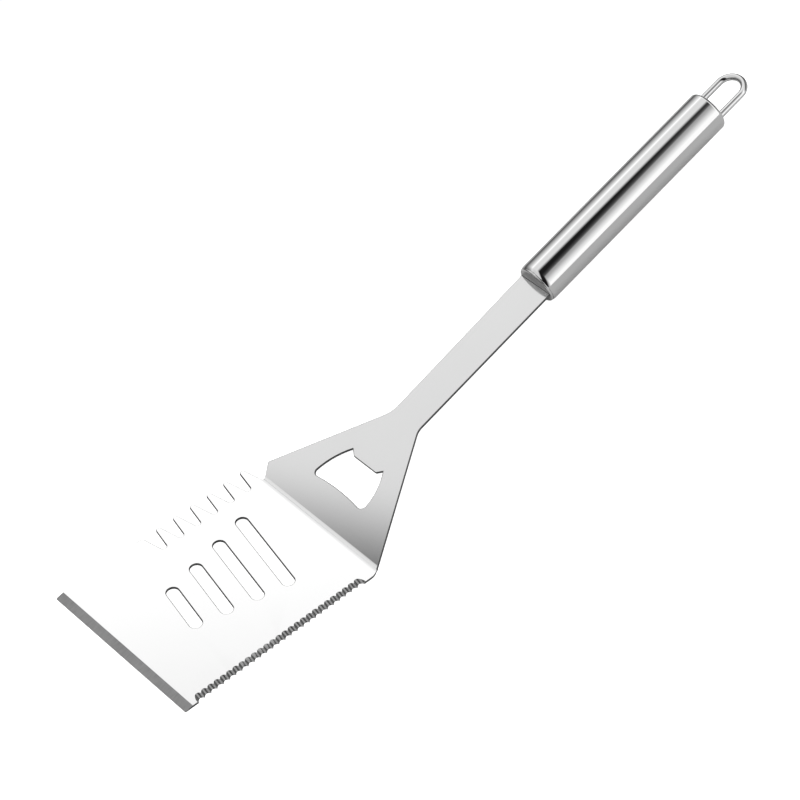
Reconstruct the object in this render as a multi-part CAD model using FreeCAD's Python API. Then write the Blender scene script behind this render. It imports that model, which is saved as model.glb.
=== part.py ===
import FreeCAD, Part
import math
import os

# Grill spatula: a stamped stainless sheet (blade, neck with bottle opener, shank and tang) welded into
# a polished tube handle that is closed by a slotted front cap and a domed rear cap with a wire loop.
#
# Row frame: +X from the blade's front edge to the hanging loop, +Z up, Y across the blade.
# The spatula lies as it rests on a table: on the underside of its bend and on the handle's front end.
# The origin is the middle of the bottom face of its bounding box. All lengths are in millimetres.
#
# Three working frames. The first two share the Y axis along the bend, where the two top faces would meet:
#   neck frame   - X along the neck and shank, Z = 0 on the top face of the neck
#   blade frame  - X along the blade (the blade has negative X), Z = 0 on the top face of the blade
#   handle frame - the neck frame turned by the handle's dip, about the middle of the front cap's face

# Sheet
SHEET = 1.5
BEND_ANGLE = 18.6
BEND_RADIUS = 12.0

# Blade
BLADE_LENGTH = 127.7
BLADE_HALF_WIDTH = 52.6
FRONT_CORNER_RADIUS = 0.8
SCRAPER_BEVEL = 4.8
SCRAPER_LAND = 0.3

# Four drain slots, slanted, longer towards the handle
SLOT_COUNT = 4
SLOT_WIDTH = 6.9
SLOT_PITCH = 17.85
SLOT_FIRST_X = -85.75
SLOT_SLANT = 0.195
SLOT_FIRST_HALF_SPAN = 12.1
SLOT_SPAN_STEP = 3.93

# Wavy tenderiser teeth on the left side (+Y)
TOOTH_COUNT = 6
TOOTH_PITCH = 11.33
TOOTH_LAST_X = -4.6
TOOTH_TIP_RADIUS = 1.7
TOOTH_FLANK = 0.2075
TOOTH_DEPTH = 14.0
TOOTH_SHOULDER_RADIUS = 2.0

# Hollow-ground serrated knife edge on the right side (-Y)
SCALLOP_COUNT = 27
SCALLOP_PITCH = 4.015
SCALLOP_FIRST_X = -116.87
SCALLOP_RADIUS = 3.4
SCALLOP_TILT = 27.5
SCALLOP_TOP_Y = -47.85

# Neck
NECK_LENGTH = 70.5
NECK_ROOT_HALF_WIDTH = 50.6
NECK_CORNER_RADIUS = 8.0
NECK_NOTCH = (-0.3, 38.5)
NECK_NOTCH_RADIUS = 1.2
NECK_HORN = (9.0, 45.2)
NECK_HORN_RADIUS = 1.0
LEFT_JUNCTION_RADIUS = 18.0
RIGHT_JUNCTION_RADIUS = 9.0

# Bottle opener cut-out in the neck
OPENER_BASE_X = 19.0
OPENER_BASE_BOW = 1.2
OPENER_LEFT_HALF_WIDTH = 19.35
OPENER_RIGHT_HALF_WIDTH = 18.95
OPENER_LEFT_CORNER_RADIUS = 2.6
OPENER_RIGHT_CORNER_RADIUS = 3.1
OPENER_SIDE_POINT = (33.35, 16.45)
OPENER_NOTCH = (42.05, 11.8)
OPENER_LIP_X = 39.15
OPENER_LIP_LEFT_Y = 8.1
OPENER_LIP_RIGHT_Y = -9.1

# Shank and tang
SHANK_ROOT_HALF_WIDTH = 10.15
SHANK_END_HALF_WIDTH = 10.9
CAP_FACE_X = 171.6
TANG_STEP_X = CAP_FACE_X + 2.4
TANG_HALF_WIDTH = 9.0
TANG_END_X = CAP_FACE_X + 20.0
TANG_CORNER_RADIUS = 1.5

# Handle tube
HANDLE_DIP = 1.4
TUBE_RADIUS = 12.0
TUBE_WALL = 0.8
TUBE_SEAM_RADIUS = 11.65
TUBE_SHOULDER = 2.3
SEAM_GAP = 0.3
TUBE_END_X = CAP_FACE_X + 135.2

# Front cap
FRONT_CAP_RADIUS = 11.6
FRONT_CAP_LIP = 1.0
FRONT_CAP_PLATE = 1.2
FRONT_CAP_EDGE = 0.9
FRONT_CAP_SKIRT = 8.0
CAP_SLOT_CLEARANCE = 0.45
CAP_SLOT_END_CLEARANCE = 0.15

# Rear cap
REAR_CAP_EDGE = 2.0
REAR_CAP_CROWN = 0.7
REAR_CAP_WALL = 1.2
REAR_CAP_SKIRT = 6.0

# Hanging loop
WIRE_RADIUS = 2.0
LOOP_HALF_WIDTH = 7.75
LOOP_BEND_X = CAP_FACE_X + 153.65
LOOP_LEG_START_X = TUBE_END_X - 1.2

# Weld beads inside the handle
TANG_WELD_LEG = 1.6
TANG_WELD_HALF_LENGTH = 7.0
WELD_BITE = 0.1
LOOP_WELD_RADIUS = 2.95
LOOP_WELD_HEIGHT = 1.4

TUBE_BORE = TUBE_RADIUS - TUBE_WALL
AXIS_Z = -SHEET / 2
TUBE_START_X = CAP_FACE_X + FRONT_CAP_LIP + SEAM_GAP
REAR_CAP_END_X = TUBE_END_X + REAR_CAP_EDGE + REAR_CAP_CROWN
REACH = 400.0
Y_AXIS = FreeCAD.Vector(0, 1, 0)
ORIGIN = FreeCAD.Vector(0, 0, 0)


def point(x, y, z=0.0):
    return FreeCAD.Vector(x, y, z)


def turned(shape, degrees):
    """A copy of the shape, turned about the bend (the Y axis)."""
    copy = shape.copy()
    copy.rotate(ORIGIN, Y_AXIS, degrees)
    return copy


def dipped(shape):
    """A copy of the shape, moved from the handle frame to the neck frame."""
    copy = shape.copy()
    copy.rotate(point(CAP_FACE_X, 0, AXIS_Z), Y_AXIS, HANDLE_DIP)
    return copy


def rounded_outline(corners):
    """A closed wire through (x, y, radius) corners, each one rounded by a tangent arc."""
    edges = []
    starts = []
    ends = []
    middles = []
    count = len(corners)
    for index, (x, y, radius) in enumerate(corners):
        here = point(x, y)
        before = point(*corners[index - 1][:2]) - here
        after = point(*corners[(index + 1) % count][:2]) - here
        before.normalize()
        after.normalize()
        half_angle = before.getAngle(after) / 2
        reach = radius / math.tan(half_angle)
        inward = before + after
        inward.normalize()
        centre = here + inward * (radius / math.sin(half_angle))
        starts.append(here + before * reach)
        ends.append(here + after * reach)
        middles.append(centre - inward * radius)
    for index in range(count):
        if corners[index][2] > 0:
            edges.append(Part.Arc(starts[index], middles[index], ends[index]).toShape())
        edges.append(Part.LineSegment(ends[index], starts[(index + 1) % count]).toShape())
    return Part.Wire(edges)


def prism(wire, low, high):
    """The wire's area, drawn on Z = 0, as a solid from Z = low to Z = high."""
    face = Part.Face(wire)
    face.translate(point(0, 0, low))
    return face.extrude(point(0, 0, high - low))


def tooth_corners():
    """Corners of the tooth flanks: long thin triangles whose rounded tips reach the blade's side."""
    tip_rise = TOOTH_PITCH / 4 / TOOTH_FLANK
    middle = BLADE_HALF_WIDTH - TOOTH_DEPTH / 2
    first = TOOTH_LAST_X - (TOOTH_COUNT - 1) * TOOTH_PITCH
    valley_x = first - TOOTH_PITCH / 2
    shoulder_x = valley_x - (BLADE_HALF_WIDTH - middle + tip_rise) * TOOTH_FLANK
    corners = [(shoulder_x, BLADE_HALF_WIDTH, TOOTH_SHOULDER_RADIUS)]
    for index in range(TOOTH_COUNT):
        peak_x = first + index * TOOTH_PITCH
        corners.append((peak_x - TOOTH_PITCH / 2, middle - tip_rise, TOOTH_TIP_RADIUS))
        corners.append((peak_x, middle + tip_rise, TOOTH_TIP_RADIUS))
    return corners


def sheet_outline():
    """The flat pattern of the sheet, from the scraper edge to the tang, with X measured from the bend."""
    width_change = BLADE_HALF_WIDTH - NECK_ROOT_HALF_WIDTH
    corner_x = -width_change * NECK_LENGTH / (NECK_ROOT_HALF_WIDTH - SHANK_ROOT_HALF_WIDTH)
    right = [
        (-BLADE_LENGTH, -BLADE_HALF_WIDTH, FRONT_CORNER_RADIUS),
        (corner_x, -BLADE_HALF_WIDTH, NECK_CORNER_RADIUS),
        (NECK_LENGTH, -SHANK_ROOT_HALF_WIDTH, RIGHT_JUNCTION_RADIUS),
        (TANG_STEP_X, -SHANK_END_HALF_WIDTH, 0.0),
        (TANG_STEP_X, -TANG_HALF_WIDTH, 0.0),
        (TANG_END_X, -TANG_HALF_WIDTH, TANG_CORNER_RADIUS),
    ]
    left = [
        (TANG_END_X, TANG_HALF_WIDTH, TANG_CORNER_RADIUS),
        (TANG_STEP_X, TANG_HALF_WIDTH, 0.0),
        (TANG_STEP_X, SHANK_END_HALF_WIDTH, 0.0),
        (NECK_LENGTH, SHANK_ROOT_HALF_WIDTH, LEFT_JUNCTION_RADIUS),
        (*NECK_HORN, NECK_HORN_RADIUS),
        (*NECK_NOTCH, NECK_NOTCH_RADIUS),
    ]
    front_left = [(-BLADE_LENGTH, BLADE_HALF_WIDTH, FRONT_CORNER_RADIUS)]
    return rounded_outline(right + left + tooth_corners()[::-1] + front_left)


def bent_strip():
    """A wide strip of the sheet with the blade, the bend and the neck in side view, in the neck frame."""
    angle = math.radians(BEND_ANGLE)
    tangent = BEND_RADIUS * math.tan(angle / 2)
    centre = point(tangent, 0, BEND_RADIUS)

    def on_bend(radius, turn):
        return centre + point(-math.sin(turn), 0, -math.cos(turn)) * radius

    def on_blade(z):
        x = -BLADE_LENGTH - 5
        return point(x * math.cos(angle) + z * math.sin(angle), 0, -x * math.sin(angle) + z * math.cos(angle))

    outer = BEND_RADIUS + SHEET
    tail_top = point(TANG_END_X + 5, 0, 0)
    tail_bottom = point(TANG_END_X + 5, 0, -SHEET)
    edges = [
        Part.LineSegment(on_bend(BEND_RADIUS, 0), tail_top).toShape(),
        Part.LineSegment(tail_top, tail_bottom).toShape(),
        Part.LineSegment(tail_bottom, on_bend(outer, 0)).toShape(),
        Part.Arc(on_bend(outer, 0), on_bend(outer, angle / 2), on_bend(outer, angle)).toShape(),
        Part.LineSegment(on_bend(outer, angle), on_blade(-SHEET)).toShape(),
        Part.LineSegment(on_blade(-SHEET), on_blade(0)).toShape(),
        Part.LineSegment(on_blade(0), on_bend(BEND_RADIUS, angle)).toShape(),
        Part.Arc(on_bend(BEND_RADIUS, angle), on_bend(BEND_RADIUS, angle / 2), on_bend(BEND_RADIUS, 0)).toShape(),
    ]
    face = Part.Face(Part.Wire(edges))
    face.translate(point(0, -REACH / 2, 0))
    return face.extrude(point(0, REACH, 0))


def drain_slots():
    """The four slanted slots, as cutters in the blade frame."""
    radius = SLOT_WIDTH / 2
    cutters = []
    for index in range(SLOT_COUNT):
        middle_x = SLOT_FIRST_X + index * SLOT_PITCH
        half_span = SLOT_FIRST_HALF_SPAN + index * SLOT_SPAN_STEP
        end = point(middle_x + SLOT_SLANT * half_span, half_span)
        start = point(middle_x - SLOT_SLANT * half_span, -half_span)
        along = end - start
        along.normalize()
        side = point(along.y, -along.x) * radius
        edges = [
            Part.LineSegment(start + side, end + side).toShape(),
            Part.Arc(end + side, end + along * radius, end - side).toShape(),
            Part.LineSegment(end - side, start - side).toShape(),
            Part.Arc(start - side, start - along * radius, start + side).toShape(),
        ]
        cutters.append(prism(Part.Wire(edges), -5, 5))
    return cutters


def scallops():
    """The ground hollows of the serrated edge, as tilted cylinders in the blade frame."""
    tilt = math.radians(SCALLOP_TILT)
    outward = point(0, -math.cos(tilt), -math.sin(tilt))
    upward = point(0, -math.sin(tilt), math.cos(tilt))
    length = 30.0
    cutters = []
    for index in range(SCALLOP_COUNT):
        on_top = point(SCALLOP_FIRST_X + index * SCALLOP_PITCH, SCALLOP_TOP_Y, 0)
        foot = on_top + upward * SCALLOP_RADIUS - outward * (length / 2)
        cutters.append(Part.makeCylinder(SCALLOP_RADIUS, length, foot, outward))
    return cutters


def scraper_bevel():
    """The wedge that is ground off the top of the front edge, in the blade frame."""
    slope = (SHEET - SCRAPER_LAND) / SCRAPER_BEVEL
    run = SCRAPER_BEVEL + 5
    top = point(-BLADE_LENGTH + SCRAPER_BEVEL, -REACH / 2, 0)
    foot = top + point(-run, 0, -run * slope)
    corners = [top, foot, foot + point(0, 0, 10), top + point(0, 0, 10), top]
    return Part.Face(Part.makePolygon(corners)).extrude(point(0, REACH, 0))


def bottle_opener():
    """The cut-out in the neck: a bowed base, curved sides and a lip between two notches."""
    def side(sign, half_width, corner_radius, lip_y):
        corner_turn = corner_radius * math.sqrt(0.5)
        centre = point(OPENER_BASE_X + corner_radius, sign * (half_width - corner_radius))
        base = centre + point(-corner_radius, 0)
        turn = centre + point(-corner_turn, sign * corner_turn)
        widest = centre + point(0, sign * corner_radius)
        bulge = point(OPENER_SIDE_POINT[0], sign * OPENER_SIDE_POINT[1])
        notch = point(OPENER_NOTCH[0], sign * OPENER_NOTCH[1])
        lip = point(OPENER_LIP_X, lip_y)
        return base, turn, widest, bulge, notch, lip

    base_l, turn_l, widest_l, bulge_l, notch_l, lip_l = side(
        1, OPENER_LEFT_HALF_WIDTH, OPENER_LEFT_CORNER_RADIUS, OPENER_LIP_LEFT_Y)
    base_r, turn_r, widest_r, bulge_r, notch_r, lip_r = side(
        -1, OPENER_RIGHT_HALF_WIDTH, OPENER_RIGHT_CORNER_RADIUS, OPENER_LIP_RIGHT_Y)
    base_middle = point(OPENER_BASE_X + OPENER_BASE_BOW, 0)
    edges = [
        Part.Arc(base_r, base_middle, base_l).toShape(),
        Part.Arc(base_l, turn_l, widest_l).toShape(),
        Part.Arc(widest_l, bulge_l, notch_l).toShape(),
        Part.LineSegment(notch_l, lip_l).toShape(),
        Part.LineSegment(lip_l, lip_r).toShape(),
        Part.LineSegment(lip_r, notch_r).toShape(),
        Part.Arc(notch_r, bulge_r, widest_r).toShape(),
        Part.Arc(widest_r, turn_r, base_r).toShape(),
    ]
    return prism(Part.Wire(edges), -5, 5)


def blade_and_shank():
    """The stamped sheet in one piece, in the neck frame."""
    strip = bent_strip()
    outline = sheet_outline()
    front = Part.makeBox(REACH, REACH, REACH, point(-REACH, -REACH / 2, -REACH / 2))
    rear = Part.makeBox(REACH, REACH, REACH, point(0, -REACH / 2, -REACH / 2))
    blade = strip.common(turned(front, BEND_ANGLE / 2)).common(turned(prism(outline, -40, 40), BEND_ANGLE))
    neck = strip.common(turned(rear, BEND_ANGLE / 2)).common(prism(outline, -40, 40))
    sheet = blade.fuse(neck).removeSplitter()
    sheet = sheet.cut(bottle_opener())
    for cutter in drain_slots() + [scraper_bevel()] + scallops():
        sheet = sheet.cut(turned(cutter, BEND_ANGLE))
    return sheet


def revolved(edges):
    """The solid swept by a closed profile of (x, z) edges about the handle's axis."""
    face = Part.Face(Part.Wire(edges))
    solid = face.revolve(ORIGIN, point(1, 0, 0), 360)
    solid.translate(point(0, 0, AXIS_Z))
    return solid


def profile_line(start, end):
    return Part.LineSegment(point(start[0], 0, start[1]), point(end[0], 0, end[1])).toShape()


def profile_arc(centre, radius, first, last):
    """An arc in the profile plane, between two directions in degrees, 0 along +X and 90 outwards."""
    places = []
    for degrees in (first, (first + last) / 2, last):
        turn = math.radians(degrees)
        places.append(point(centre[0] + radius * math.cos(turn), 0, centre[1] + radius * math.sin(turn)))
    return Part.Arc(*places).toShape()


def tube_shoulder_radius():
    drop = TUBE_RADIUS - TUBE_SEAM_RADIUS
    return (TUBE_SHOULDER ** 2 + drop ** 2) / (2 * drop)


def handle_tube():
    """The polished tube, its front shoulder drawn in slightly towards the seam."""
    shoulder_radius = tube_shoulder_radius()
    shoulder_x = TUBE_START_X + TUBE_SHOULDER
    lean = math.degrees(math.asin(TUBE_SHOULDER / shoulder_radius))
    seam_edge = (TUBE_START_X, TUBE_SEAM_RADIUS)
    edges = [
        profile_line((TUBE_START_X, TUBE_BORE), seam_edge),
        profile_arc((shoulder_x, TUBE_RADIUS - shoulder_radius), shoulder_radius, 90 + lean, 90),
        profile_line((shoulder_x, TUBE_RADIUS), (TUBE_END_X, TUBE_RADIUS)),
        profile_line((TUBE_END_X, TUBE_RADIUS), (TUBE_END_X, TUBE_BORE)),
        profile_line((TUBE_END_X, TUBE_BORE), (TUBE_START_X, TUBE_BORE)),
    ]
    return revolved(edges)


def front_cap():
    """The cup that closes the front of the tube: a flat plate with a slot, a rounded rim and a skirt."""
    back_x = CAP_FACE_X + FRONT_CAP_LIP
    inner_x = CAP_FACE_X + FRONT_CAP_PLATE
    skirt_x = back_x + FRONT_CAP_SKIRT
    skirt_bore = TUBE_BORE - TUBE_WALL
    flat = FRONT_CAP_RADIUS - FRONT_CAP_EDGE
    edge_x = CAP_FACE_X + FRONT_CAP_EDGE
    edges = [
        profile_line((CAP_FACE_X, 0), (CAP_FACE_X, flat)),
        profile_arc((edge_x, flat), FRONT_CAP_EDGE, 180, 90),
        profile_line((edge_x, FRONT_CAP_RADIUS), (back_x, FRONT_CAP_RADIUS)),
        profile_line((back_x, FRONT_CAP_RADIUS), (back_x, TUBE_BORE)),
        profile_line((back_x, TUBE_BORE), (skirt_x, TUBE_BORE)),
        profile_line((skirt_x, TUBE_BORE), (skirt_x, skirt_bore)),
        profile_line((skirt_x, skirt_bore), (inner_x, skirt_bore)),
        profile_line((inner_x, skirt_bore), (inner_x, 0)),
        profile_line((inner_x, 0), (CAP_FACE_X, 0)),
    ]
    half_length = SHANK_END_HALF_WIDTH + CAP_SLOT_END_CLEARANCE
    height = SHEET + 2 * CAP_SLOT_CLEARANCE
    depth = TANG_STEP_X + CAP_SLOT_END_CLEARANCE - CAP_FACE_X + 1
    corner = point(CAP_FACE_X - 1, -half_length, AXIS_Z - height / 2)
    slot = Part.makeBox(depth, 2 * half_length, height, corner)
    return revolved(edges).cut(slot)


def rear_cap(loop):
    """The domed cap at the rear: rounded edge, shallow crown and a skirt, drilled for the loop's legs."""
    edge_r = TUBE_RADIUS - REAR_CAP_EDGE
    edge_x = TUBE_END_X
    crown_radius = (edge_r ** 2 + REAR_CAP_CROWN ** 2) / (2 * REAR_CAP_CROWN)
    crown_x = REAR_CAP_END_X - crown_radius
    lean = math.degrees(math.asin(edge_r / crown_radius))
    inner_x = TUBE_END_X + REAR_CAP_EDGE - REAR_CAP_WALL
    inner_edge = REAR_CAP_EDGE - REAR_CAP_WALL
    skirt_x = TUBE_END_X - REAR_CAP_SKIRT
    skirt_bore = edge_r + inner_edge
    edges = [
        profile_line((edge_x, TUBE_BORE), (edge_x, TUBE_RADIUS)),
        profile_arc((edge_x, edge_r), REAR_CAP_EDGE, 90, 0),
        profile_arc((crown_x, 0), crown_radius, lean, 0),
        profile_line((REAR_CAP_END_X, 0), (inner_x, 0)),
        profile_line((inner_x, 0), (inner_x, edge_r)),
        profile_arc((edge_x, edge_r), inner_edge, 0, 90),
        profile_line((edge_x, skirt_bore), (skirt_x, skirt_bore)),
        profile_line((skirt_x, skirt_bore), (skirt_x, TUBE_BORE)),
        profile_line((skirt_x, TUBE_BORE), (edge_x, TUBE_BORE)),
    ]
    return revolved(edges).cut(loop)


def hanging_loop():
    """The bent wire: two parallel legs and a half-round bow, in the handle's middle plane."""
    leg = LOOP_BEND_X - LOOP_LEG_START_X
    forward = point(1, 0, 0)
    upward = point(0, 0, 1)
    bow_start = point(LOOP_BEND_X, 0, AXIS_Z)
    bow = Part.makeTorus(LOOP_HALF_WIDTH, WIRE_RADIUS, bow_start, upward)
    half = Part.makeBox(REACH, REACH, REACH, point(LOOP_BEND_X, -REACH / 2, -REACH / 2))
    loop = bow.common(half)
    for y in (-LOOP_HALF_WIDTH, LOOP_HALF_WIDTH):
        loop = loop.fuse(Part.makeCylinder(WIRE_RADIUS, leg, point(LOOP_LEG_START_X, y, AXIS_Z), forward))
    return loop.removeSplitter()


def tang_weld(side, sheet, cap):
    """A fillet weld between the tang and the back of the front cap; side is 1 above and -1 below."""
    corner_x = CAP_FACE_X + FRONT_CAP_PLATE - WELD_BITE
    corner_z = AXIS_Z + side * (SHEET / 2 - WELD_BITE)
    corner = point(corner_x, -TANG_WELD_HALF_LENGTH, corner_z)
    forward = corner + point(TANG_WELD_LEG, 0, 0)
    upward = corner + point(0, 0, side * TANG_WELD_LEG)
    bead = Part.Face(Part.makePolygon([corner, forward, upward, corner]))
    return bead.extrude(point(0, 2 * TANG_WELD_HALF_LENGTH, 0)).cut(sheet).cut(cap)


def loop_weld(y, loop, cap):
    """A ring of weld round one leg of the loop, inside the rear cap."""
    inner_x = TUBE_END_X + REAR_CAP_EDGE - REAR_CAP_WALL
    foot = point(inner_x - LOOP_WELD_HEIGHT, y, AXIS_Z)
    foot_radius = WIRE_RADIUS + WELD_BITE
    cone = Part.makeCone(foot_radius, LOOP_WELD_RADIUS, LOOP_WELD_HEIGHT, foot, point(1, 0, 0))
    return cone.cut(loop).cut(cap)


def rest_angle():
    """How far the neck rises towards the handle when the bend and the tube's shoulder touch the table."""
    shoulder_radius = tube_shoulder_radius()
    dip = math.radians(HANDLE_DIP)
    along = TUBE_START_X + TUBE_SHOULDER - CAP_FACE_X
    below = TUBE_RADIUS - shoulder_radius
    shoulder_x = CAP_FACE_X + along * math.cos(dip) - below * math.sin(dip)
    shoulder_z = AXIS_Z - along * math.sin(dip) - below * math.cos(dip)
    run = shoulder_x - BEND_RADIUS * math.tan(math.radians(BEND_ANGLE) / 2)
    fall = BEND_RADIUS - shoulder_z
    radius_change = BEND_RADIUS + SHEET - shoulder_radius
    return math.degrees(math.atan2(fall, run) - math.asin(radius_change / math.hypot(run, fall)))


def to_row_frame(pieces):
    """Turn all pieces to their rest pose and set the origin at the middle of the box's bottom face."""
    angle = rest_angle()
    placed = {name: turned(shape, -angle) for name, shape in pieces.items()}
    boxes = [shape.optimalBoundingBox(False) for shape in placed.values()]
    middle_x = (min(box.XMin for box in boxes) + max(box.XMax for box in boxes)) / 2
    middle_y = (min(box.YMin for box in boxes) + max(box.YMax for box in boxes)) / 2
    lowest = min(box.ZMin for box in boxes)
    for shape in placed.values():
        shape.translate(point(-middle_x, -middle_y, -lowest))
    print("rest angle %.4f, shift x %.4f y %.4f z %.4f" % (angle, -middle_x, -middle_y, -lowest))
    return placed


def main():
    sheet = blade_and_shank()
    loop = hanging_loop()
    closing_cap = rear_cap(loop)
    slotted_cap = dipped(front_cap())
    pieces = {
        "blade_and_shank": sheet,
        "handle_tube": dipped(handle_tube()),
        "front_cap": slotted_cap,
        "rear_cap": dipped(closing_cap),
        "hanging_loop": dipped(loop),
        "tang_weld_upper": tang_weld(1, sheet, slotted_cap),
        "tang_weld_lower": tang_weld(-1, sheet, slotted_cap),
        "loop_weld_left": dipped(loop_weld(LOOP_HALF_WIDTH, loop, closing_cap)),
        "loop_weld_right": dipped(loop_weld(-LOOP_HALF_WIDTH, loop, closing_cap)),
    }
    os.makedirs("parts", exist_ok=True)
    for name, shape in to_row_frame(pieces).items():
        solid = shape.Solids[0]
        box = solid.optimalBoundingBox(False)
        print(name, len(shape.Solids), solid.isValid(), "volume %.1f" % solid.Volume)
        print("  x %.2f..%.2f y %.2f..%.2f" % (box.XMin, box.XMax, box.YMin, box.YMax),
              "z %.2f..%.2f" % (box.ZMin, box.ZMax))
        solid.exportStep("parts/%s.step" % name)


main()
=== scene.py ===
import math

import bmesh
import bpy
import numpy as np
from mathutils import Matrix, Vector


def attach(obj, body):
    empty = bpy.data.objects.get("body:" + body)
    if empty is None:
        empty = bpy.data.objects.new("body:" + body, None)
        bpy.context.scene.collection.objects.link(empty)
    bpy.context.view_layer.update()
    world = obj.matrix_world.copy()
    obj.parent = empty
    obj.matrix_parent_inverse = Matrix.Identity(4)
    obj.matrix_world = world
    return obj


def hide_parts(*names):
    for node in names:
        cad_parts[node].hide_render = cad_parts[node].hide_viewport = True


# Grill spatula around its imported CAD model. Lengths are in metres, in the row frame:
# +X from the blade's front edge to the hanging loop, +Z up, the bottom of the object on Z = 0.

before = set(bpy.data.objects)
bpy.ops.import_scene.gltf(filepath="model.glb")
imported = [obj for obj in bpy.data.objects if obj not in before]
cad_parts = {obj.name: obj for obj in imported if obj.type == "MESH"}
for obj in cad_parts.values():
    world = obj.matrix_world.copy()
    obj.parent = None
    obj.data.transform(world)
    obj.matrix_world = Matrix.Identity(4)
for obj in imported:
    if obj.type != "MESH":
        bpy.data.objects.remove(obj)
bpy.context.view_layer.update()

# Frames of the object
BLADE_TURN = math.radians(14.8576)
NECK_TURN = math.radians(-3.7424)
HANDLE_TURN = math.radians(-2.3424)
BEND_PLACE = Vector((-0.1053665, 0.0, 0.0013973))
CAP_FACE_PLACE = Vector((0.0659165, 0.0, 0.0118494))

# Sheet
BLADE_LENGTH = 0.1277
SCRAPER_BEVEL = 0.0048
SCALLOP_TOP_Y = -0.04785
CUT_EDGE_ROUNDING = 0.00038
BEND_NOTCH = (0.0, 0.0385)
BEND_NOTCH_KEEP = 0.0045
GROUND_MARGIN = 0.0005
BEVEL_MARGIN = 0.0003
CUT_FACING = 0.985

# Mesh angles and steps
FLAT_ANGLE = math.radians(0.05)
CUT_EDGE_ANGLE = math.radians(35)
SHEET_SHARP_ANGLE = math.radians(33)
SHARP_ANGLE = math.radians(30)
MERGE_DISTANCE = 1e-7
ROUND_STEPS = 192
BEND_STEPS = 48
WIRE_SIDES = 48
LEG_STEPS = 12
TUBE_STEPS = 24

# Handle
TUBE_RADIUS = 0.012
TUBE_WALL = 0.0008
TUBE_SEAM_RADIUS = 0.01165
TUBE_SHOULDER = 0.0023
TUBE_START = 0.0013
TUBE_END = 0.1352
FRONT_CAP_RADIUS = 0.0116
FRONT_CAP_LIP = 0.0010
FRONT_CAP_PLATE = 0.0012
FRONT_CAP_EDGE = 0.0009
FRONT_CAP_SKIRT = 0.0080
CAP_SLOT_HALF_LENGTH = 0.01105
CAP_SLOT_HALF_HEIGHT = 0.0012
CAP_SLOT_DEPTH = 0.0026
CAP_SLOT_START = -0.001
REAR_CAP_EDGE = 0.0020
REAR_CAP_CROWN = 0.0007
REAR_CAP_WALL = 0.0012
REAR_CAP_SKIRT = 0.0060

# Hanging loop
WIRE_RADIUS = 0.0020
LOOP_HALF_WIDTH = 0.00775
LOOP_BEND = 0.15365
LOOP_LEG_START = TUBE_END - 0.0012

# Camera
CAMERA_PLACE = (-0.4114295, -0.8984864, 1.2981349)
CAMERA_TURN = (34.617408, 15.142914, -43.597504)
CAMERA_LENS = 139.675

scene = bpy.context.scene
scene.view_settings.view_transform = "Standard"


def turn_about_y(angle):
    return Matrix.Rotation(angle, 4, "Y")


HANDLE_FRAME = Matrix.Translation(CAP_FACE_PLACE) @ turn_about_y(HANDLE_TURN)
BLADE_FRAME = Matrix.Translation(BEND_PLACE) @ turn_about_y(BLADE_TURN)
NECK_FRAME = Matrix.Translation(BEND_PLACE) @ turn_about_y(NECK_TURN)


# Camera

camera = bpy.data.objects.new("camera", bpy.data.cameras.new("camera"))
camera.data.lens = CAMERA_LENS
camera.data.sensor_width = 36.0
camera.location = CAMERA_PLACE
camera.rotation_euler = [math.radians(angle) for angle in CAMERA_TURN]
scene.collection.objects.link(camera)
scene.camera = camera


# Node helpers

class Tree:
    """Short calls for the nodes that the materials and the studio light are made of."""

    def __init__(self, tree):
        self.tree = tree
        self.tree.nodes.clear()

    def node(self, kind, **settings):
        made = self.tree.nodes.new(kind)
        for name, value in settings.items():
            setattr(made, name, value)
        return made

    def put(self, socket, value):
        if isinstance(value, bpy.types.NodeSocket):
            self.tree.links.new(value, socket)
        else:
            socket.default_value = value

    def math(self, operation, *values, clamp=False):
        made = self.node("ShaderNodeMath", operation=operation, use_clamp=clamp)
        for socket, value in zip(made.inputs, values):
            self.put(socket, value)
        return made.outputs[0]

    def vector(self, operation, *values):
        made = self.node("ShaderNodeVectorMath", operation=operation)
        for socket, value in zip(made.inputs, values):
            self.put(socket, value)
        return made.outputs["Value"] if operation == "DOT_PRODUCT" else made.outputs["Vector"]

    def smooth(self, value, low, high, start=0.0, end=1.0):
        made = self.node("ShaderNodeMapRange", interpolation_type="SMOOTHSTEP")
        for name, number in zip(("From Min", "From Max", "To Min", "To Max"), (low, high, start, end)):
            self.put(made.inputs[name], number)
        self.put(made.inputs["Value"], value)
        return made.outputs["Result"]

    def curve(self, value, points):
        """A number that follows (place, value) points, straight between them."""
        made = self.node("ShaderNodeValToRGB")
        ramp = made.color_ramp
        ramp.interpolation = "LINEAR"
        while len(ramp.elements) > 1:
            ramp.elements.remove(ramp.elements[-1])
        for index, (place, number) in enumerate(points):
            element = ramp.elements[0] if index == 0 else ramp.elements.new(place)
            element.position = place
            element.color = (number, number, number, 1.0)
        self.put(made.inputs["Fac"], value)
        return made.outputs["Color"]

    def noise(self, vector, scale, detail=3.0, roughness=0.5):
        made = self.node("ShaderNodeTexNoise")
        self.put(made.inputs["Vector"], vector)
        self.put(made.inputs["Scale"], scale)
        self.put(made.inputs["Detail"], detail)
        self.put(made.inputs["Roughness"], roughness)
        return made.outputs["Fac"]

    def mix(self, factor, first, second):
        made = self.node("ShaderNodeMix", data_type="RGBA")
        self.put(made.inputs[0], factor)
        self.put(made.inputs[6], first)
        self.put(made.inputs[7], second)
        return made.outputs[2]


# Studio: pale floor and soft light

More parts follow.
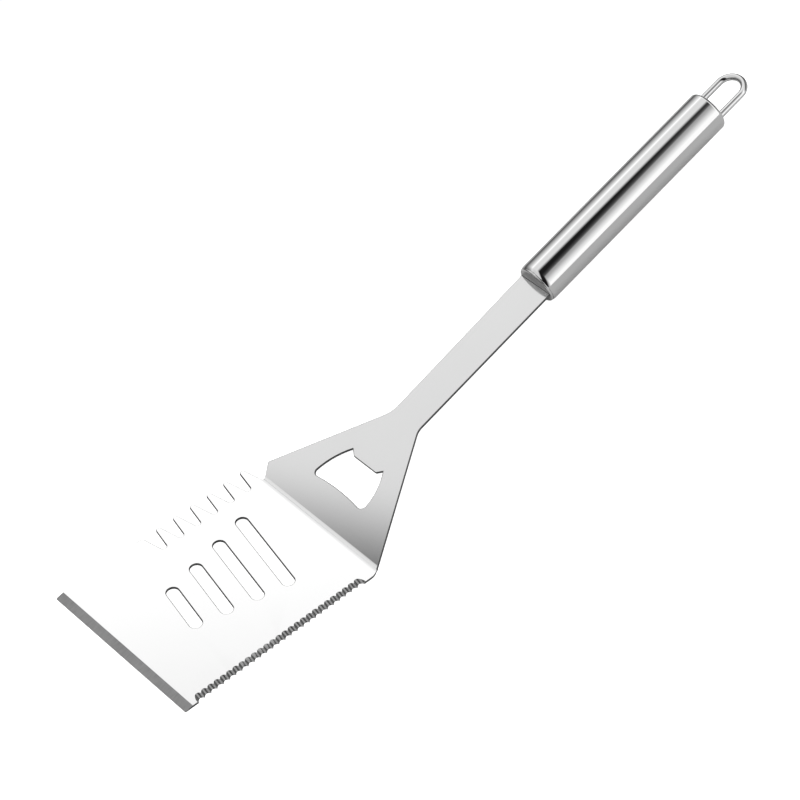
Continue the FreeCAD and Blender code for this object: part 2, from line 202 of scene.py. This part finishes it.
# Directions and levels of the soft light round the object; a level of 1 is the brightest light.
LIGHT_SCALE = 2.0
FAR_SIDE_EDGE = (0.796, -0.598, -0.092)
FRONT_SIDE_EDGE = (0.915, -0.198, -0.352)
FAR_LEVELS = [(0.0, 0.12), (0.10, 0.17), (0.25, 0.36), (0.42, 0.54), (0.60, 0.86), (0.66, 1.06),
              (0.685, 1.03), (0.70, 0.95), (0.715, 0.86), (0.74, 0.80), (0.80, 0.70), (0.90, 0.72),
              (1.0, 0.72)]
FRONT_LEVELS = [(0.0, 0.008), (0.27, 0.010), (0.32, 0.04), (0.358, 0.09), (0.395, 0.34), (0.43, 0.38),
                (0.46, 0.43), (0.55, 0.66), (0.68, 0.98), (1.0, 0.98)]
FRONT_OFFSET = 0.35

# Each fade is (from, to) along a direction, with the levels at its two ends where they differ from 0 and 1.
NEAR_LIMITS = (-0.1, 0.6)
TILT_MIDDLE, TILT = 0.27, 0.25
LOW_SHARE = (-0.2, 0.28, 0.5, 1.0)
HIGH_SHARE = (-0.1, 0.22, 0.84, 1.0)
HIGH_FADE = (0.70, 0.86)
EDGE_FOLD, FOLD_REACH, FOLD_BACK = 0.22, 0.1, 1.2
FAR_FADE = (-0.10, 0.06, 1.0, 0.0)
BEHIND_FADE, BEHIND_LEVEL = (0.47, 0.56), 0.30
END_FADE = (0.64, 0.74, 1.0, 0.15)

# Floor: its size, how its tone falls off along Y as painted shade seen in reflections, and its glow, which is
# stronger where it is seen directly
FLOOR_RADIUS, FLOOR_SEGMENTS = 40.0, 96
FLOOR_PAINTED_SHADE = (0.02, 0.22, 0.88, 0.13)
FLOOR_GLOW, FLOOR_SEEN_GLOW = 0.06, 0.86

# Dark card: its middle, its turn about Z, and how far from the middle its cover fades, in its own axes
CARD_PLACE = (-0.0898, 0.184, 0.334)
CARD_TURN = math.radians(20.8)
CARD_REAR_FADE = (-0.0020, 0.0680)
CARD_FRONT_FADE = (-0.0300, -0.0150)
CARD_SIDE_FADE = (0.082, 0.107)
CARD_COVER = 0.80


def studio_light():
    """A surround of soft light whose level depends only on direction."""
    world = bpy.data.worlds.new("studio")
    world.use_nodes = True
    t = Tree(world.node_tree)
    direction = t.node("ShaderNodeTexCoord").outputs["Generated"]
    split = t.node("ShaderNodeSeparateXYZ")
    t.put(split.inputs[0], direction)
    along, across, up = split.outputs
    near_along = t.math("MINIMUM", t.math("MAXIMUM", along, NEAR_LIMITS[0]), NEAR_LIMITS[1])
    tilt = t.math("MULTIPLY", t.math("SUBTRACT", near_along, TILT_MIDDLE), TILT)
    tilted = t.math("ADD", up, tilt, clamp=True)
    low_share = t.smooth(along, *LOW_SHARE)
    gain = t.math("SUBTRACT", t.smooth(along, *HIGH_SHARE), low_share)
    share = t.math("ADD", low_share, t.math("MULTIPLY", t.smooth(up, *HIGH_FADE), gain))
    far = t.math("MULTIPLY", t.curve(tilted, FAR_LEVELS), share)
    front_place = t.math("ADD", t.vector("DOT_PRODUCT", direction, FRONT_SIDE_EDGE), FRONT_OFFSET, clamp=True)
    front = t.curve(front_place, FRONT_LEVELS)
    reach = t.math("MINIMUM", along, EDGE_FOLD + FOLD_REACH)
    past_fold = t.math("MAXIMUM", t.math("SUBTRACT", reach, EDGE_FOLD), 0.0)
    folded = t.math("SUBTRACT", t.math("MINIMUM", along, EDGE_FOLD), t.math("MULTIPLY", past_fold, FOLD_BACK))
    folded_direction = t.node("ShaderNodeCombineXYZ")
    for socket, value in zip(folded_direction.inputs, (folded, across, up)):
        t.put(socket, value)
    far_edge = t.vector("DOT_PRODUCT", folded_direction.outputs[0], FAR_SIDE_EDGE)
    far_side = t.smooth(far_edge, *FAR_FADE)
    behind = t.math("MULTIPLY", t.smooth(along, *BEHIND_FADE), BEHIND_LEVEL)
    front = t.vector("MAXIMUM", front, behind)
    tent = t.mix(far_side, front, far)
    past_end = t.smooth(along, *END_FADE)
    background = t.node("ShaderNodeBackground")
    t.put(background.inputs["Color"], t.vector("MULTIPLY", tent, past_end))
    background.inputs["Strength"].default_value = LIGHT_SCALE
    t.put(t.node("ShaderNodeOutputWorld").inputs["Surface"], background.outputs[0])
    scene.world = world


def dark_card():
    """A soft-edged card above the bend, seen only in reflections: it shades the neck's right corner."""
    mesh = bpy.data.meshes.new("card")
    half_x, half_y = CARD_REAR_FADE[1], CARD_SIDE_FADE[1]
    corners = [(-half_x, -half_y, 0.0), (half_x, -half_y, 0.0), (half_x, half_y, 0.0), (-half_x, half_y, 0.0)]
    mesh.from_pydata(corners, [], [(0, 1, 2, 3)])
    card = bpy.data.objects.new("card", mesh)
    scene.collection.objects.link(card)
    card.location = CARD_PLACE
    card.rotation_euler = (0.0, 0.0, CARD_TURN)
    for kind in ("camera", "diffuse", "transmission", "volume_scatter", "shadow"):
        setattr(card, "visible_" + kind, False)
    material = bpy.data.materials.new("dark_card")
    material.use_nodes = True
    t = Tree(material.node_tree)
    place = t.node("ShaderNodeSeparateXYZ")
    t.put(place.inputs[0], t.node("ShaderNodeTexCoord").outputs["Object"])
    rear = t.smooth(place.outputs["X"], *CARD_REAR_FADE, 1.0, 0.0)
    front = t.smooth(place.outputs["X"], *CARD_FRONT_FADE, 0.0, 1.0)
    side = t.smooth(t.math("ABSOLUTE", place.outputs["Y"]), *CARD_SIDE_FADE, CARD_COVER, 0.0)
    cover = t.math("MULTIPLY", t.math("MULTIPLY", rear, front), side)
    black = t.node("ShaderNodeEmission")
    black.inputs["Strength"].default_value = 0.0
    both = t.node("ShaderNodeMixShader")
    t.put(both.inputs[0], cover)
    t.put(both.inputs[1], t.node("ShaderNodeBsdfTransparent").outputs[0])
    t.put(both.inputs[2], black.outputs[0])
    t.put(t.node("ShaderNodeOutputMaterial").inputs["Surface"], both.outputs[0])
    mesh.materials.append(material)


def pale_floor():
    """A glowing floor, pale in reflections with painted shade darkening its tone along Y, and bright where
    the camera sees it directly.
    """
    mesh = bpy.data.meshes.new("floor")
    bm = bmesh.new()
    bmesh.ops.create_circle(bm, cap_ends=True, segments=FLOOR_SEGMENTS, radius=FLOOR_RADIUS)
    bm.to_mesh(mesh)
    bm.free()
    floor = bpy.data.objects.new("floor", mesh)
    scene.collection.objects.link(floor)
    material = bpy.data.materials.new("pale_floor")
    material.use_nodes = True
    t = Tree(material.node_tree)
    table = t.node("ShaderNodeBsdfDiffuse")
    place = t.node("ShaderNodeSeparateXYZ")
    t.put(place.inputs[0], t.node("ShaderNodeTexCoord").outputs["Object"])
    # Painted shade: the floor's tone darkens along Y, so the steel reflects a darker floor on that side.
    t.put(table.inputs["Color"], t.smooth(place.outputs["Y"], *FLOOR_PAINTED_SHADE))
    glow = t.node("ShaderNodeEmission")
    glow.inputs["Color"].default_value = (1.0, 1.0, 1.0, 1.0)
    seen_directly = t.node("ShaderNodeLightPath").outputs["Is Camera Ray"]
    seen_glow = t.math("MULTIPLY", seen_directly, FLOOR_SEEN_GLOW)
    t.put(glow.inputs["Strength"], t.math("ADD", FLOOR_GLOW, seen_glow))
    both = t.node("ShaderNodeAddShader")
    t.put(both.inputs[0], table.outputs[0])
    t.put(both.inputs[1], glow.outputs[0])
    t.put(t.node("ShaderNodeOutputMaterial").inputs["Surface"], both.outputs[0])
    mesh.materials.append(material)


studio_light()
dark_card()
pale_floor()


# Materials

FINE_SHARE, CLOUDY_SHARE = 0.6, 0.4
WEAR_RADIUS, WEAR_FADE = 0.0005, (0.995, 0.90)


def metal(name, tone, roughness, grain, grain_depth, roughness_change, tone_change, wear=0.0, blotch=45.0):
    """Steel with a stretched grain, scaled (x, y, z) per metre, and tones that vary over the surface."""
    material = bpy.data.materials.new(name)
    material.use_nodes = True
    t = Tree(material.node_tree)
    shader = t.node("ShaderNodeBsdfPrincipled")
    place = t.node("ShaderNodeTexCoord").outputs["Object"]
    stretched = t.vector("MULTIPLY", place, grain)
    fine = t.noise(stretched, 1.0, 4.0, 0.6)
    cloudy = t.noise(place, blotch, 3.0, 0.5)
    fine_part = t.math("MULTIPLY", fine, FINE_SHARE)
    mixed = t.math("ADD", fine_part, t.math("MULTIPLY", cloudy, CLOUDY_SHARE))
    centred = t.math("SUBTRACT", mixed, 0.5)
    edge = 0.0
    if wear:
        bevel = t.node("ShaderNodeBevel", samples=4)
        bevel.inputs["Radius"].default_value = WEAR_RADIUS
        flat = t.node("ShaderNodeNewGeometry").outputs["Normal"]
        turn = t.vector("DOT_PRODUCT", bevel.outputs[0], flat)
        edge = t.smooth(turn, *WEAR_FADE)
    worn = t.math("MULTIPLY", edge, wear)
    value = t.math("ADD", t.math("ADD", tone, t.math("MULTIPLY", centred, tone_change)), worn, clamp=True)
    colour = t.node("ShaderNodeCombineColor")
    t.put(colour.inputs[0], value)
    t.put(colour.inputs[1], value)
    t.put(colour.inputs[2], value)
    t.put(shader.inputs["Base Color"], colour.outputs[0])
    shader.inputs["Metallic"].default_value = 1.0
    rough = t.math("ADD", roughness, t.math("MULTIPLY", centred, roughness_change))
    t.put(shader.inputs["Roughness"], t.math("ADD", rough, t.math("MULTIPLY", worn, 0.5), clamp=True))
    bump = t.node("ShaderNodeBump")
    bump.inputs["Strength"].default_value = 1.0
    bump.inputs["Distance"].default_value = grain_depth
    t.put(bump.inputs["Height"], fine)
    t.put(shader.inputs["Normal"], bump.outputs[0])
    t.put(t.node("ShaderNodeOutputMaterial").inputs["Surface"], shader.outputs[0])
    return material


satin = metal("satin_sheet", 0.52, 0.10, (60.0, 3500.0, 3500.0), 0.0000004, 0.08, 0.03, 0.10)
# The cut faces are rougher steel; their very dark tone is painted shade, standing in for the shade on the
# edge walls.
shaded_cut_edge = metal("shaded_cut_edge", 0.09, 0.42, (3000.0, 3000.0, 250.0), 0.000004, 0.20, 0.06)
ground_bevel = metal("ground_bevel", 0.20, 0.34, (150.0, 1700.0, 150.0), 0.000004, 0.22, 0.34, blotch=30.0)
# The scallops are ground steel; their darker tone is partly painted shade for the hollows of the grooves.
shaded_ground_scallop = metal("shaded_ground_scallop", 0.26, 0.24, (2400.0, 260.0, 260.0), 0.000002, 0.12, 0.12)
polished_tube = metal("polished_tube", 0.50, 0.05, (40.0, 900.0, 900.0), 0.00000006, 0.05, 0.02)
brushed_cap = metal("brushed_cap", 0.31, 0.28, (400.0, 3000.0, 160.0), 0.000003, 0.14, 0.16, 0.12)
polished_cap = metal("polished_cap", 0.50, 0.07, (900.0, 300.0, 300.0), 0.0000001, 0.06, 0.03, 0.08)
polished_wire = metal("polished_wire", 0.50, 0.045, (60.0, 700.0, 700.0), 0.0000001, 0.05, 0.04)


# Pieces

def add_piece(mesh, name, node):
    piece = bpy.data.objects.new(name, mesh)
    scene.collection.objects.link(piece)
    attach(piece, "root")
    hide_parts(node)
    return piece


def welded_copy(node):
    """The CAD node's mesh as a bmesh, its vertices joined and its flat areas made whole."""
    bm = bmesh.new()
    bm.from_mesh(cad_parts[node].data)
    bmesh.ops.remove_doubles(bm, verts=bm.verts, dist=MERGE_DISTANCE)
    bmesh.ops.dissolve_limit(bm, angle_limit=FLAT_ANGLE, verts=bm.verts, edges=bm.edges, delimit={"SHARP"})
    bmesh.ops.recalc_face_normals(bm, faces=bm.faces)
    return bm


SATIN, CUT, BEVEL, SCALLOP = range(4)


def sheet_finish(centre, normal):
    """Which finish a face of the sheet has, from its place and direction; the cut and scallop finishes carry
    painted shade.
    """
    on_blade = centre.x < BEND_PLACE.x
    to_local = (BLADE_FRAME if on_blade else NECK_FRAME).inverted()
    place = to_local @ centre
    facing = to_local.to_3x3() @ normal
    by_bevel = place.x < -BLADE_LENGTH + SCRAPER_BEVEL + GROUND_MARGIN
    to_the_front = facing.x < -0.1 and abs(facing.y) < 0.1
    if on_blade and by_bevel and to_the_front and 0.3 < facing.z < 0.9995:
        return BEVEL
    if on_blade and 0.05 < facing.z < 0.9995 and place.y < SCALLOP_TOP_Y + GROUND_MARGIN:
        return SCALLOP
    if abs(facing.z) < CUT_FACING:
        return CUT
    return SATIN


def is_ground(place):
    """Whether a place is on the scraper bevel or the serrated edge, whose edges stay sharp."""
    local = BLADE_FRAME.inverted() @ place
    by_bevel = local.x < -BLADE_LENGTH + SCRAPER_BEVEL + BEVEL_MARGIN
    by_serration = local.y < SCALLOP_TOP_Y + GROUND_MARGIN
    return place.x < BEND_PLACE.x and (by_bevel or by_serration)


def by_bend_notch(place):
    """Whether a place is in the small notch at the left end of the bend, too tight for rounded edges."""
    local = NECK_FRAME.inverted() @ place
    return math.hypot(local.x - BEND_NOTCH[0], local.y - BEND_NOTCH[1]) < BEND_NOTCH_KEEP


def round_cut_edges(bm):
    """Rounds the sharp edges, except on the bevel, the serrated edge and the notch at the bend."""
    sharp = []
    for edge in bm.edges:
        kept = any(is_ground(vert.co) or by_bend_notch(vert.co) for vert in edge.verts)
        if edge.calc_face_angle() > CUT_EDGE_ANGLE and not kept:
            sharp.append(edge)
    bmesh.ops.bevel(bm, geom=sharp, offset=CUT_EDGE_ROUNDING, offset_type="OFFSET", segments=3, profile=0.5,
                    affect="EDGES", clamp_overlap=False)


def sheet():
    """The CAD sheet with rounded cut edges and its own finish on each kind of face, with painted shade in the
    tones of the cut faces and scallops.
    """
    bm = welded_copy("blade_and_shank")
    round_cut_edges(bm)
    for face in bm.faces:
        face.material_index = sheet_finish(face.calc_center_median(), face.normal)
        face.smooth = True
    mesh = bpy.data.meshes.new("sheet")
    bm.to_mesh(mesh)
    bm.free()
    mesh.set_sharp_from_angle(angle=SHEET_SHARP_ANGLE)
    for material in (satin, shaded_cut_edge, ground_bevel, shaded_ground_scallop):
        mesh.materials.append(material)
    piece = add_piece(mesh, "sheet", "blade_and_shank")
    normals = piece.modifiers.new("normals", "WEIGHTED_NORMAL")
    normals.keep_sharp = True
    return piece


def revolved_mesh(name, profile):
    """A closed (x, radius) profile turned about the handle's axis."""
    bm = bmesh.new()
    rings = []
    for step in range(ROUND_STEPS):
        angle = 2 * math.pi * step / ROUND_STEPS
        ring = []
        for x, radius in profile:
            place = HANDLE_FRAME @ Vector((x, radius * math.cos(angle), radius * math.sin(angle)))
            ring.append(bm.verts.new(place))
        rings.append(ring)
    count = len(profile)
    for step in range(ROUND_STEPS):
        here, there = rings[step], rings[(step + 1) % ROUND_STEPS]
        for index in range(count):
            after = (index + 1) % count
            bm.faces.new((here[index], here[after], there[after], there[index]))
    bmesh.ops.remove_doubles(bm, verts=bm.verts, dist=MERGE_DISTANCE)
    bmesh.ops.recalc_face_normals(bm, faces=bm.faces)
    for face in bm.faces:
        face.smooth = True
    mesh = bpy.data.meshes.new(name)
    bm.to_mesh(mesh)
    bm.free()
    mesh.set_sharp_from_angle(angle=SHARP_ANGLE)
    return mesh


def arc(centre, radius, first, last, steps):
    """Points (x, radius) of an arc, between two directions in degrees."""
    points = []
    for step in range(steps + 1):
        turn = math.radians(first + (last - first) * step / steps)
        points.append((centre[0] + radius * math.cos(turn), centre[1] + radius * math.sin(turn)))
    return points


def tube():
    """The handle tube with its rolled front shoulder."""
    drop = TUBE_RADIUS - TUBE_SEAM_RADIUS
    shoulder_radius = (TUBE_SHOULDER ** 2 + drop ** 2) / (2 * drop)
    lean = math.degrees(math.asin(TUBE_SHOULDER / shoulder_radius))
    centre = (TUBE_START + TUBE_SHOULDER, TUBE_RADIUS - shoulder_radius)
    shoulder = arc(centre, shoulder_radius, 90 + lean, 90, 12)
    bore = TUBE_RADIUS - TUBE_WALL
    body = [(x, TUBE_RADIUS) for x in np.linspace(TUBE_START + TUBE_SHOULDER, TUBE_END, TUBE_STEPS)[1:]]
    profile = [(TUBE_START, bore)] + shoulder + body + [(TUBE_END, bore)]
    mesh = revolved_mesh("tube", profile)
    mesh.materials.append(polished_tube)
    add_piece(mesh, "tube", "handle_tube")


def cut_away(mesh, tool):
    """The mesh with a closed tool mesh taken away from it."""
    body = bpy.data.objects.new("body", mesh)
    cutter = bpy.data.objects.new("cutter", tool)
    scene.collection.objects.link(body)
    scene.collection.objects.link(cutter)
    cut = body.modifiers.new("cut", "BOOLEAN")
    cut.operation = "DIFFERENCE"
    cut.solver = "EXACT"
    cut.object = cutter
    result = bpy.data.meshes.new_from_object(body.evaluated_get(bpy.context.evaluated_depsgraph_get()))
    bpy.data.objects.remove(body)
    bpy.data.objects.remove(cutter)
    result.set_sharp_from_angle(angle=SHARP_ANGLE)
    return result


def wire_loop():
    """The bent wire as a swept mesh: two legs and a half-round bow."""
    leg = np.linspace(LOOP_LEG_START, LOOP_BEND, LEG_STEPS)
    centres = [((x, -LOOP_HALF_WIDTH), (1.0, 0.0)) for x in leg[:-1]]
    for step in range(BEND_STEPS + 1):
        turn = -math.pi / 2 + math.pi * step / BEND_STEPS
        outward = (math.cos(turn), math.sin(turn))
        place = (LOOP_BEND + LOOP_HALF_WIDTH * outward[0], LOOP_HALF_WIDTH * outward[1])
        centres.append((place, (-outward[1], outward[0])))
    centres += [((x, LOOP_HALF_WIDTH), (-1.0, 0.0)) for x in leg[::-1][1:]]
    bm = bmesh.new()
    rings = []
    for (x, y), (dx, dy) in centres:
        across = Vector((-dy, dx, 0))
        ring = []
        for step in range(WIRE_SIDES):
            turn = 2 * math.pi * step / WIRE_SIDES
            offset = (across * math.cos(turn) + Vector((0, 0, 1)) * math.sin(turn)) * WIRE_RADIUS
            ring.append(bm.verts.new(HANDLE_FRAME @ (Vector((x, y, 0)) + offset)))
        rings.append(ring)
    for here, there in zip(rings, rings[1:]):
        for index in range(WIRE_SIDES):
            after = (index + 1) % WIRE_SIDES
            bm.faces.new((here[index], here[after], there[after], there[index]))
    bm.faces.new(rings[0])
    bm.faces.new(rings[-1])
    bmesh.ops.recalc_face_normals(bm, faces=bm.faces)
    for face in bm.faces:
        face.smooth = len(face.verts) == 4
    mesh = bpy.data.meshes.new("loop")
    bm.to_mesh(mesh)
    bm.free()
    mesh.set_sharp_from_angle(angle=SHARP_ANGLE)
    mesh.materials.append(polished_wire)
    return add_piece(mesh, "loop", "hanging_loop")


def end_cap(loop):
    """The domed rear cap, drilled for the legs of the wire loop."""
    edge_r = TUBE_RADIUS - REAR_CAP_EDGE
    crown_radius = (edge_r ** 2 + REAR_CAP_CROWN ** 2) / (2 * REAR_CAP_CROWN)
    end = TUBE_END + REAR_CAP_EDGE + REAR_CAP_CROWN
    lean = math.degrees(math.asin(edge_r / crown_radius))
    bore = TUBE_RADIUS - TUBE_WALL
    inner_x = TUBE_END + REAR_CAP_EDGE - REAR_CAP_WALL
    inner_edge = REAR_CAP_EDGE - REAR_CAP_WALL
    skirt_bore = edge_r + inner_edge
    profile = [(TUBE_END, bore)]
    profile += arc((TUBE_END, edge_r), REAR_CAP_EDGE, 90, 0, 12)
    profile += arc((end - crown_radius, 0), crown_radius, lean, 0, 12)[1:]
    profile += [(inner_x, 0.0)]
    profile += arc((TUBE_END, edge_r), inner_edge, 0, 90, 6)
    profile += [(TUBE_END - REAR_CAP_SKIRT, skirt_bore), (TUBE_END - REAR_CAP_SKIRT, bore)]
    mesh = cut_away(revolved_mesh("closed_cap", profile), loop.data)
    mesh.name = "end_cap"
    mesh.materials.clear()
    mesh.materials.append(polished_cap)
    return add_piece(mesh, "end_cap", "rear_cap")


def slotted_cap():
    """The front plug: a brushed plate with a polished rounded rim, a slot for the shank and a skirt."""
    flat = FRONT_CAP_RADIUS - FRONT_CAP_EDGE
    bore = TUBE_RADIUS - TUBE_WALL
    skirt_end = FRONT_CAP_LIP + FRONT_CAP_SKIRT
    profile = [(0.0, 0.0)] + arc((FRONT_CAP_EDGE, flat), FRONT_CAP_EDGE, 180, 90, 10)
    profile += [(FRONT_CAP_LIP, FRONT_CAP_RADIUS), (FRONT_CAP_LIP, bore), (skirt_end, bore)]
    profile += [(skirt_end, bore - TUBE_WALL), (FRONT_CAP_PLATE, bore - TUBE_WALL), (FRONT_CAP_PLATE, 0.0)]
    bm = bmesh.new()
    corners = [Vector((x, y, z)) for x in (CAP_SLOT_START, CAP_SLOT_DEPTH)
               for y in (-CAP_SLOT_HALF_LENGTH, CAP_SLOT_HALF_LENGTH)
               for z in (-CAP_SLOT_HALF_HEIGHT, CAP_SLOT_HALF_HEIGHT)]
    bmesh.ops.convex_hull(bm, input=[bm.verts.new(HANDLE_FRAME @ corner) for corner in corners])
    slot_tool = bpy.data.meshes.new("slot_tool")
    bm.to_mesh(slot_tool)
    bm.free()
    mesh = cut_away(revolved_mesh("closed_plug", profile), slot_tool)
    mesh.name = "slotted_cap"
    mesh.materials.clear()
    mesh.materials.append(brushed_cap)
    mesh.materials.append(polished_cap)
    to_handle = HANDLE_FRAME.inverted().to_3x3()
    for face in mesh.polygons:
        face.material_index = 0 if (to_handle @ face.normal).x < -0.99 else 1
    return add_piece(mesh, "slotted_cap", "front_cap")


sheet()
tube()
slotted_cap()
end_cap(wire_loop())

weld = metal("weld", 0.33, 0.42, (1500.0, 1500.0, 1500.0), 0.00001, 0.2, 0.2)
for name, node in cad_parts.items():
    if "weld" in name:
        for slot in node.material_slots:
            slot.material = weld
